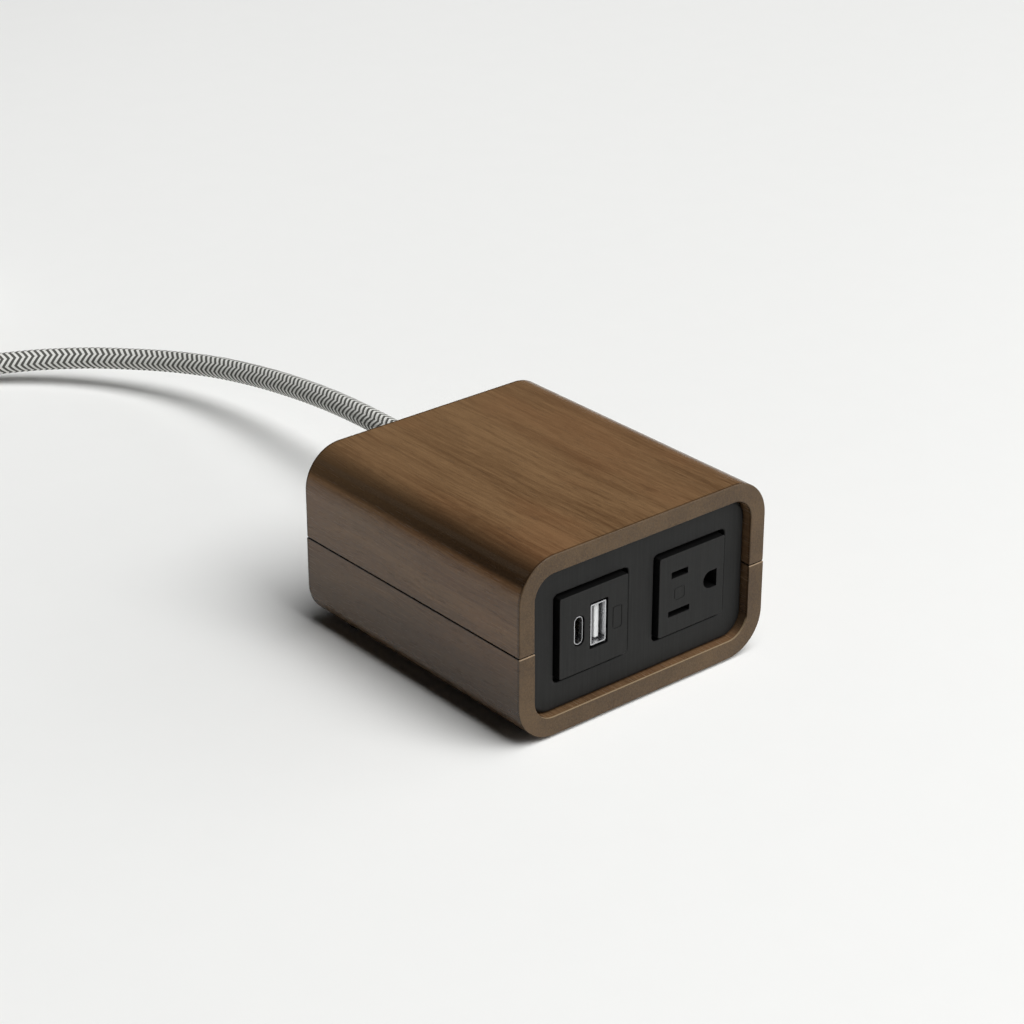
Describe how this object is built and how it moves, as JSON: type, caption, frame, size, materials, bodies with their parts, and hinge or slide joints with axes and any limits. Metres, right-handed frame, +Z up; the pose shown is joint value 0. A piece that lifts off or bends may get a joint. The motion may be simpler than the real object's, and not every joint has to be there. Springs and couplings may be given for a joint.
{
  "type": "desktop power hub",
  "caption": "Walnut desktop power hub with a grounded mains outlet, USB-A and USB-C charging ports, a braided lead in a coil, and its plug.",
  "frame": {"origin": "on the table, under the middle of the walnut case", "axes": "+Z up, +X to the right seen from the front, -Y out of the socket face, +Y where the lead leaves"},
  "size_m": [0.1398, 0.4892, 0.0594],
  "materials": {
    "walnut": "satin",
    "beech": "plain",
    "rubber": "matte",
    "steel": "satin",
    "black_plastic": "fine matt texture",
    "dark_nylon": "matt",
    "light_plastic": "matt",
    "brass": "satin",
    "board_green": "solder resist",
    "ferrite": "sintered",
    "winding_tape": "gloss",
    "copper": "enamelled",
    "capacitor_sleeve": "sleeved",
    "black_wire": "satin",
    "white_wire": "satin",
    "green_wire": "satin",
    "braid": "woven"
  },
  "bodies": {
    "hub": {"bridge_rectifier": "black_plastic", "bulk_capacitor": "capacitor_sleeve", "case_screw_1": "steel", "case_screw_2": "steel", "case_screw_3": "steel", "case_screw_4": "steel", "charger_board": "board_green", "cord_coil": "braid", "cord_lead": "braid", "cord_tail": "braid", "cord_tie": "rubber", "dowel_1": "beech", "dowel_2": "beech", "dowel_3": "beech", "dowel_4": "beech", "filter_capacitor": "winding_tape", "foot_1": "rubber", "foot_2": "rubber", "foot_3": "rubber", "foot_4": "rubber", "front_plate": "black_plastic", "ground_contact": "brass", "ground_wire": "green_wire", "hot_contact": "brass", "hot_feed": "black_wire", "hot_wire": "black_wire", "input_fuse": "light_plastic", "jacket_end": "black_wire", "line_choke": "copper", "lower_shell": "walnut", "neutral_contact": "brass", "neutral_feed": "white_wire", "neutral_wire": "white_wire", "outlet_body": "black_plastic", "outlet_face": "black_plastic", "output_capacitor_1": "capacitor_sleeve", "output_capacitor_2": "capacitor_sleeve", "plug_body": "rubber", "plug_ground_pin": "brass", "plug_hot_blade": "brass", "plug_neutral_blade": "brass", "plug_sleeve": "rubber", "port_controller": "black_plastic", "rear_plate": "black_plastic", "rear_screw_1": "steel", "rear_screw_2": "steel", "rear_screw_3": "steel", "rear_screw_4": "steel", "shutter_spring": "steel", "strain_relief": "rubber", "transformer_core": "ferrite", "transformer_winding": "winding_tape", "tray": "dark_nylon", "upper_shell": "walnut", "usb_a_shell": "steel", "usb_a_tongue": "light_plastic", "usb_c_shell": "steel", "usb_c_tongue": "black_plastic", "usb_face": "black_plastic"},
    "shutter": {"tamper_shutter": "black_plastic"}
  },
  "joints": [
    {"name": "shutter_slide", "type": "slide", "parent": "hub", "child": "shutter", "axis": [0, 0, -1], "range_m": [0, 0.003], "stiffness_N_per_m": 60, "springref_m": -0.003, "deforming": ["shutter_spring"]}
  ]
}
